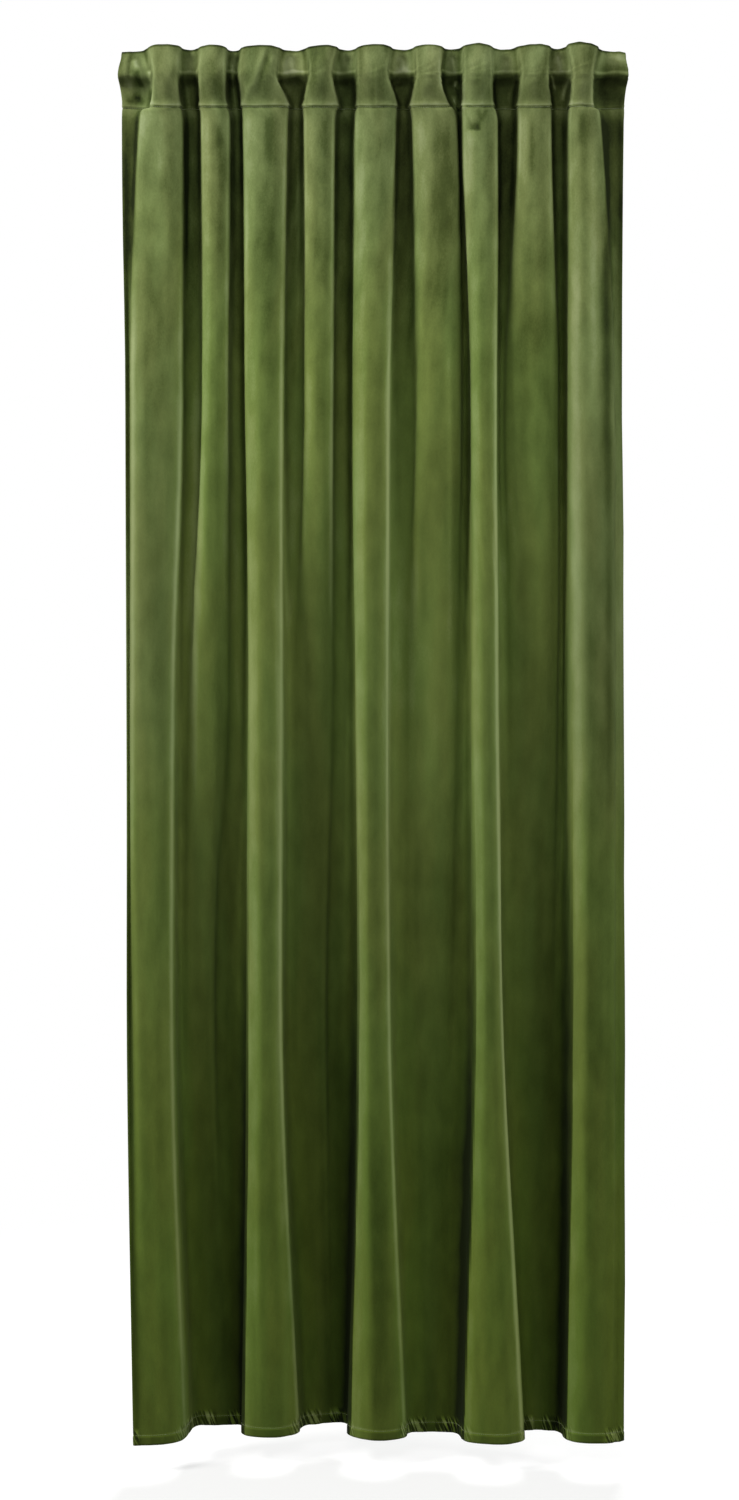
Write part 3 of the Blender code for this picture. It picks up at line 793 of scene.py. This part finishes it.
def product(tree, *factors):
    """The product of two or more fields."""
    result = factors[0]
    for factor in factors[1:]:
        result = add_node(tree, "Math", {0: result, 1: factor}, operation="MULTIPLY")
    return result


def velvet_fields(tree):
    """All that the velvet's looks are worked out from, by name."""
    flat = add_node(tree, "UVMap", uv_map="flat")
    across, height = add_node(tree, "SeparateXYZ", {0: flat}).outputs[:2]
    fields = {name: add_cloud(tree, cloud) for name, cloud in VELVET_CLOUDS.items()}
    fields.update(across=across, height=height)
    for name in ("pile", "valley"):
        fields[name] = add_node(tree, "Attribute", attribute_name=name).outputs["Fac"]
    add_masks(tree, fields, VELVET_MASKS)
    return fields


def velvet_upper(tree, fields):
    """How far the paler, greyer colours near the heading hold, which are painted sheen from the light above:
    down the two outer folds they reach lower.
    """
    middle = add_node(tree, "Mix", {0: 0.35, 2: fields["heading"], 3: fields["upper_half"]})
    outer = add_node(tree, "Math", {0: fields["left_fold"], 1: fields["right_fold"]}, operation="ADD")
    outer = product(tree, outer, fields["over_hem"])
    return add_node(tree, "Math", {0: middle, 1: outer}, operation="MAXIMUM")


def velvet_tone_and_shade(tree, fields):
    """How light the velvet's colour is: the pile's random tone, swinging more near the heading, with the
    marks' painted shade and highlights and the painted light and shade of the hem's gathers.
    """
    fine = add_node(tree, "Mix", {0: 0.25, 2: fields["brushed"], 3: fields["speckled"]})
    broad = add_node(tree, "Mix", {0: 0.5, 2: fields["patches"], 3: fields["streaked"]})
    tone_and_shade = add_node(tree, "Mix", {0: 0.5, 2: fine, 3: broad})
    tone_and_shade = add_node(tree, "Math", {0: tone_and_shade, 1: 0.5}, operation="SUBTRACT")
    tone_and_shade = add_node(tree, "Math", {0: tone_and_shade, 1: fields["swing"], 2: 0.5}, operation="MULTIPLY_ADD")
    for name, strength in (("pile", MARKED_PILE_AND_SHADE), ("gathers", GATHERS_LIGHT_AND_SHADE)):
        tone_and_shade = add_node(tree, "Math", {0: fields[name], 1: strength, 2: tone_and_shade}, operation="MULTIPLY_ADD")
    return tone_and_shade


def cut_pile_velvet(settings):
    """Polyester cut-pile velvet, its colour dark where painted shade falls and pale where painted light and
    highlights fall, over the pile's own random tones.
    """
    material, tree, shader = new_material("cut_pile_velvet", {
        "Roughness": 0.92, "Specular IOR Level": 0.06, "Sheen Roughness": 0.55,
        "Sheen Tint": linear(settings.sheen_hex)})
    fields = velvet_fields(tree)
    # The hem's gathers in the valleys: they raise bumps and also get painted light and shade in the colour
    fields["gathers"] = product(tree, fields["puckers"], fields["hem"], fields["recess"])
    fields["upper"] = velvet_upper(tree, fields)
    fields["tone_and_shade"] = velvet_tone_and_shade(tree, fields)
    ramps = []
    for stops in (LOWER_TONES_AND_SHADE, UPPER_TONES_AND_SHADE):
        ramps.append(add_node(tree, "ValToRGB", {0: fields["tone_and_shade"]}))
        colours = ramps[-1].color_ramp.elements
        for place, _ in stops[1:-1]:
            colours.new(place)
        for colour, (_, hex_colour) in zip(colours, stops):
            colour.color = linear(hex_colour)
    colour = add_node(tree, "Mix", {0: fields["upper"], 6: ramps[0], 7: ramps[1]}, data_type="RGBA")
    tinted = add_node(tree, "HueSaturation", {"Hue": fields["hue"], "Color": colour.outputs[2]})
    add_masks(tree, fields, SHINE_MASKS)
    shine = product(tree, fields["shine_of_nap"], fields["shine_of_heading"], fields["shine_of_folds"])
    finer = {}
    for name, strength, height in VELVET_BUMPS:
        finer = {"Normal": add_node(tree, "Bump", {"Strength": strength, "Distance": height,
                                                   "Height": fields[name], **finer})}
    feed(tree, shader, {"Base Color": tinted, "Sheen Weight": shine, **finer})
    return material


def woven_cloth(name, across, along, dark, light, roughness):
    """A plain dull weave with ribs across and along it, at the given pitches in millimetres."""
    material, tree, shader = new_material(name, {"Roughness": roughness, "Specular IOR Level": 0.2,
                                                 "Sheen Weight": 0.12})
    ribs = []
    for pitch, direction in ((across, "X"), (along, "Y")):
        inputs = {"Vector": flat_millimetres(tree), "Distortion": 0.4, "Scale": math.tau / 20 / pitch}
        ribs.append(add_node(tree, "TexWave", inputs, bands_direction=direction).outputs["Fac"])
    weave = add_node(tree, "Mix", {0: 0.5, 2: ribs[0], 3: ribs[1]})
    fields = {"tone": add_node(tree, "Mix", {0: 0.6, 2: weave, 3: add_cloud(tree, Cloud(40, 60))})}
    add_masks(tree, fields, {"shade": Mask("tone", 0.3, 0.7, 0.0, 1.0)})
    colour = add_node(tree, "Mix", {0: fields["shade"], 6: linear(dark), 7: linear(light)},
                      data_type="RGBA").outputs[2]
    bump = add_node(tree, "Bump", {"Strength": 0.5, "Distance": 0.0004, "Height": weave})
    feed(tree, shader, {"Base Color": colour, "Normal": bump})
    return material


def sewing_thread():
    """Polyester sewing thread in the velvet's colour, with a slight gloss."""
    material, tree, shader = new_material("polyester_sewing_thread", {
        "Roughness": 0.55, "Specular IOR Level": 0.3, "Sheen Weight": 0.3})
    place = add_node(tree, "TexCoord").outputs["Object"]
    grain = add_node(tree, "TexNoise", {"Vector": place, "Scale": 900.0, "Detail": 2.0}).outputs["Fac"]
    colour = add_node(tree, "Mix", {0: grain, 6: linear("#5B6A3A"), 7: linear("#7F8C58")},
                      data_type="RGBA").outputs[2]
    feed(tree, shader, {"Base Color": colour})
    return material


# Operators


class CurtainSettings(bpy.types.PropertyGroup):
    """The sizes and colours that a user would change."""

    cloth: bpy.props.FloatProperty(name="Velvet", description="Thickness of the velvet with its pile",
                                   default=0.002, unit="LENGTH")
    tape: bpy.props.FloatProperty(name="Tape", description="Thickness of the heading tape and of the tabs",
                                  default=0.001, unit="LENGTH")
    flat_width: bpy.props.FloatProperty(name="Flat width", description="Width of the curtain laid flat",
                                        default=1.40, unit="LENGTH")
    tab_width: bpy.props.FloatProperty(name="Tab width", description="Width of each hidden tab",
                                       default=0.020, unit="LENGTH")
    sheen_hex: bpy.props.StringProperty(name="Sheen", default="#CDD99A",
                                        description="Colour of the soft light on the pile's tips")


def strip_faces(settings, rows):
    """The front and back face of the heading strip behind the velvet, at the given heights."""
    cloth = hung_cloth(rows)
    near = settings.cloth / MM / 2 + SEAM_GAP
    front = cloth.points + cloth.normals * near
    return cloth, front, front + cloth.normals * settings.tape / MM


class CURTAIN_OT_panel(bpy.types.Operator):
    """Makes the velvet panel in its folds, with its hems and sewn lines"""

    bl_idname = "curtain.panel"
    bl_label = "Velvet panel"

    def execute(self, context):
        settings = context.scene.curtain
        cloth = hung_cloth(PANEL_ROWS)
        half = settings.cloth / MM / 2
        over_strip = step_down(cloth.below, STRIP_BOTTOM, STRIP_BOTTOM + 25)
        creased = np.where(over_strip > 0, np.maximum(cloth.creased, HEADING_TROUGH), cloth.creased)
        raised = half + creased + np.maximum(sewn_relief(cloth), HEADING_TROUGH)
        raised = np.maximum(raised, half + creased * (1 - over_strip) - half * 1.2)
        front = cloth.points - cloth.normals * raised[:, :, None]
        sunk = half - creased * (1 - over_strip)
        sunk += TURNED_UNDER * step_up(cloth.below, HEM_LINE - 1, HEM_LINE + 2)
        back = cloth.points + cloth.normals * sunk[:, :, None]
        edge = np.minimum(cloth.run, cloth.length - cloth.run)
        hemmed = (edge < SIDE_HEM) | (cloth.below > HEM_LINE)
        backing = np.where(hemmed[:-1, :-1], 0, 1)
        share = settings.flat_width / MM / cloth.length
        flat = flat_places(cloth.run * share, cloth.below)
        velvet = cut_pile_velvet(settings)
        ground = woven_cloth("velvet_ground_weave", 1.1, 1.1, "#3F4C24", "#4E5D30", 0.85)
        # The pile attribute carries the marks with the painted light and shade; the valley attribute says how
        # far each point lies in a valley
        fields = {"pile": marks_and_painted_shading(cloth), "valley": cloth.valley}
        panel = sheet_object("velvet_panel", front, back, flat, [velvet, ground], backing, fields)
        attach(panel, BODY)
        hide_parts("panel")
        return {"FINISHED"}


# How far the thread lies from the velvet's middle surface, and behind the strip at the seam
THREAD_LIFT = 0.6
THREAD_BEHIND_STRIP = 2.35


class CURTAIN_OT_seams(bpy.types.Operator):
    """Sews the visible lines of thread along the heading seam and the bottom hem"""

    bl_idname = "curtain.seams"
    bl_label = "Sewn lines"

    def execute(self, context):
        rows = []
        for below, behind in ((SEAM, THREAD_BEHIND_STRIP), (HEM_LINE, THREAD_LIFT)):
            cloth = hung_cloth([below - 3, below, below + 3])
            points, normals = cloth.points[1], cloth.normals[1]
            rows.append(stitch_row(points - normals * THREAD_LIFT, -normals))
            rows.append(stitch_row(points + normals * behind, normals))
        seams = stitches_object("sewn_lines", rows, sewing_thread())
        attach(seams, BODY)
        return {"FINISHED"}


class CURTAIN_OT_strip(bpy.types.Operator):
    """Makes the woven heading strip behind the velvet"""

    bl_idname = "curtain.strip"
    bl_label = "Heading strip"

    def execute(self, context):
        settings = context.scene.curtain
        cloth, front, back = strip_faces(settings, spaced((STRIP_TOP, STRIP_BOTTOM, 7)))
        share = settings.flat_width / MM / cloth.length
        tape = woven_cloth("woven_polyester_tape", 1.4, 2.4, "#39451F", "#4B5A2D", 0.78)
        strip = sheet_object("heading_tape", front, back, flat_places(cloth.run * share, cloth.below), [tape])
        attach(strip, BODY)
        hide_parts("heading_strip")
        return {"FINISHED"}


def hindmost(faces, middle, half):
    """The depth of the hindmost point near one place across, for each row of a face."""
    return np.array([row[np.abs(row[:, 0] - middle) <= half, 1].max() for row in faces])


def tab_line(cloth, back, middle, half):
    """Depths and heights of a tab's front face: the top foot, the bow behind the rod space, the low foot."""
    column = int(np.abs(cloth.points[0, :, 0] - middle).argmin())
    heights = cloth.points[:, column, 2]
    depths = hindmost(back, middle, half)
    top = slice(*np.searchsorted(cloth.below[:, 0], TOP_FOOT))
    low = slice(*np.searchsorted(cloth.below[:, 0], LOW_FOOT))
    top_y, low_y = depths[top].max() + TAB_GAP, depths[low].max() + TAB_GAP
    top_z, low_z = heights[top], heights[low]
    steps = np.arange(1, TAB_STEPS) / TAB_STEPS
    bow_y = top_y + (low_y - top_y) * steps + TAB_BOW * np.sin(math.pi * steps) ** TAB_BOW_POWER
    bow_z = top_z[-1] + (low_z[0] - top_z[-1]) * steps
    y = np.concatenate([np.full(len(top_z), top_y), bow_y, np.full(len(low_z), low_y)])
    return y, np.concatenate([top_z, bow_z, low_z])


class CURTAIN_OT_tabs(bpy.types.Operator):
    """Makes the hidden tabs behind the strip, each sewn on by its two feet"""

    bl_idname = "curtain.tabs"
    bl_label = "Hidden tabs"

    def execute(self, context):
        settings = context.scene.curtain
        half = settings.tab_width / MM / 2
        webbing = woven_cloth("woven_tab_webbing", 1.8, 1.2, "#3D4A24", "#54643A", 0.7)
        cloth, _, back = strip_faces(settings, spaced((STRIP_TOP, STRIP_BOTTOM, 2)))
        for name in TAB_NAMES:
            low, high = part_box(name)
            middle = (low[0] + high[0]) / 2 / MM
            y, z = tab_line(cloth, back, middle, half + TAB_MARGIN)
            side = np.linspace(-half, half, TAB_COLUMNS)
            points = np.stack(np.broadcast_arrays(middle + side, y[:, None], z[:, None]), axis=2)
            thick = settings.tape / MM * (1 - SELVEDGE_THINNING * line(np.abs(side), half, 1.2))
            behind = points + normals_of(points) * thick[None, :, None]
            run = np.concatenate([[0.0], np.cumsum(np.hypot(np.diff(y), np.diff(z)))])
            flat = flat_places(*np.broadcast_arrays(middle + side, run[:, None]))
            tab = sheet_object(name + "_webbing", points, behind, flat, [webbing])
            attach(tab, BODY)
            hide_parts(name)
        return {"FINISHED"}


class CURTAIN_OT_stage(bpy.types.Operator):
    """Makes the pale floor, the soft studio light and the camera"""

    bl_idname = "curtain.stage"
    bl_label = "Floor, light and camera"

    def execute(self, context):
        make_floor()
        make_lights()
        make_world()
        make_camera()
        return {"FINISHED"}


FLOOR_GAP = 0.05
FLOOR_RADIUS = 2.4
FLOOR_COLOUR = (0.9, 0.9, 0.9, 1.0)
# The floor's glow, and the places along its radius between which it rises to the surround's
FLOOR_GLOW = 0.6
FLOOR_FADE = (0.35 * FLOOR_RADIUS, 0.92 * FLOOR_RADIUS)
EYE_HEIGHT = -1.239
EYE_ACROSS = -0.0066
EYE_DISTANCE = 4.0
PICTURE = (739, 1500)
PIXEL = 0.001775
SENSOR = 36.0


def make_floor():
    """A round pale floor that fades into the pale surround towards its rim."""
    bpy.ops.object.select_all(action="DESELECT")
    bpy.ops.mesh.primitive_circle_add(vertices=96, radius=FLOOR_RADIUS, fill_type="TRIFAN",
                                      location=(0.0, 0.0, CAD_BOX[0][2] - FLOOR_GAP))
    floor = bpy.context.object
    floor.name = "floor"
    floor.visible_diffuse = False
    material, tree, shader = new_material("matt_pale_floor", {"Base Color": FLOOR_COLOUR, "Roughness": 0.9})
    place = add_node(tree, "TexCoord").outputs["Object"]
    fields = {"radius": add_node(tree, "VectorMath", {0: place}, operation="LENGTH").outputs["Value"]}
    add_masks(tree, fields, {"fade": Mask("radius", *FLOOR_FADE, FLOOR_GLOW, 1.0)})
    glow = add_node(tree, "Emission", {"Color": (1, 1, 1, 1), "Strength": 1.0})
    mixed = add_node(tree, "MixShader", {0: fields["fade"], 1: shader, 2: glow})
    feed(tree, tree.nodes["Material Output"], {"Surface": mixed})
    floor.data.materials.append(material)


# The lamps, all aimed at one point: a key light from the left, a weaker one from the right, a weak one in
# front, and one for the back
Lamp = namedtuple("Lamp", "name place size power colour")
LAMPS = (Lamp("key", (-3.0, -1.6, 1.4), 1.4, 172.0, (1.0, 0.99, 0.97)),
         Lamp("side", (3.1, -1.5, 1.2), 1.4, 80.0, (0.98, 0.99, 1.0)),
         Lamp("front", (-0.2, -3.7, 0.6), 1.6, 54.0, (1.0, 1.0, 0.98)),
         Lamp("back", (0.6, 3.6, 0.6), 1.6, 260.0, (1.0, 1.0, 1.0)))
LAMP_TARGET = Vector((0.0, 0.0, -0.8))


def make_lights():
    """Soft square lights."""
    for lamp in LAMPS:
        bpy.ops.object.light_add(type="AREA", location=lamp.place)
        light = bpy.context.object
        light.name = lamp.name
        light.data.shape = "SQUARE"
        light.data.size = lamp.size
        light.data.energy = lamp.power
        light.data.color = lamp.colour
        light.rotation_euler = (LAMP_TARGET - Vector(lamp.place)).to_track_quat("-Z", "Y").to_euler()


def make_world():
    """A white surround for the camera, and a dim even light for everything else."""
    world = bpy.data.worlds.new("studio")
    bpy.context.scene.world = world
    world.use_nodes = True
    tree = world.node_tree
    tree.nodes.clear()
    dim, seen = [add_node(tree, "Background", {"Color": (1, 1, 1, 1), "Strength": strength})
                 for strength in (0.12, 1.0)]
    path = add_node(tree, "LightPath")
    mixed = add_node(tree, "MixShader", {0: path.outputs["Is Camera Ray"], 1: dim, 2: seen})
    add_node(tree, "OutputWorld", {"Surface": mixed})


def make_camera():
    """The camera straight in front at the curtain's middle height."""
    bpy.ops.object.camera_add(location=(EYE_ACROSS, -EYE_DISTANCE, EYE_HEIGHT),
                              rotation=(math.radians(90), 0, 0))
    camera = bpy.context.object
    camera.name = "camera"
    camera.data.sensor_width = SENSOR
    camera.data.lens = SENSOR * EYE_DISTANCE / (PICTURE[1] * PIXEL)
    bpy.context.scene.camera = camera
    bpy.context.scene.view_settings.view_transform = "Standard"


class CURTAIN_PT_sidebar(bpy.types.Panel):
    """Lists the curtain's settings and pieces"""

    bl_label = "Velvet curtain"
    bl_idname = "CURTAIN_PT_sidebar"
    bl_space_type = "VIEW_3D"
    bl_region_type = "UI"
    bl_category = "Curtain"

    def draw(self, context):
        for name in CurtainSettings.__annotations__:
            self.layout.prop(context.scene.curtain, name)
        for operator in OPERATORS:
            self.layout.operator(operator.bl_idname)


OPERATORS = (CURTAIN_OT_panel, CURTAIN_OT_seams, CURTAIN_OT_strip, CURTAIN_OT_tabs, CURTAIN_OT_stage)
CLASSES = (CurtainSettings,) + OPERATORS + (CURTAIN_PT_sidebar,)


def register():
    """Registers the classes and the scene's settings."""
    for item in CLASSES:
        bpy.utils.register_class(item)
    bpy.types.Scene.curtain = bpy.props.PointerProperty(type=CurtainSettings)


def unregister():
    """Removes the settings and the classes."""
    del bpy.types.Scene.curtain
    for item in reversed(CLASSES):
        bpy.utils.unregister_class(item)


def plain(box):
    """A box as plain lists of numbers."""
    return [[float(value) for value in corner] for corner in box]


def main():
    """Makes every piece in order."""
    register()
    bpy.ops.object.select_all(action="DESELECT")
    bpy.ops.curtain.panel()
    bpy.ops.curtain.seams()
    bpy.ops.curtain.strip()
    bpy.ops.curtain.tabs()
    bpy.ops.curtain.stage()


if __name__ == "__main__":
    main()
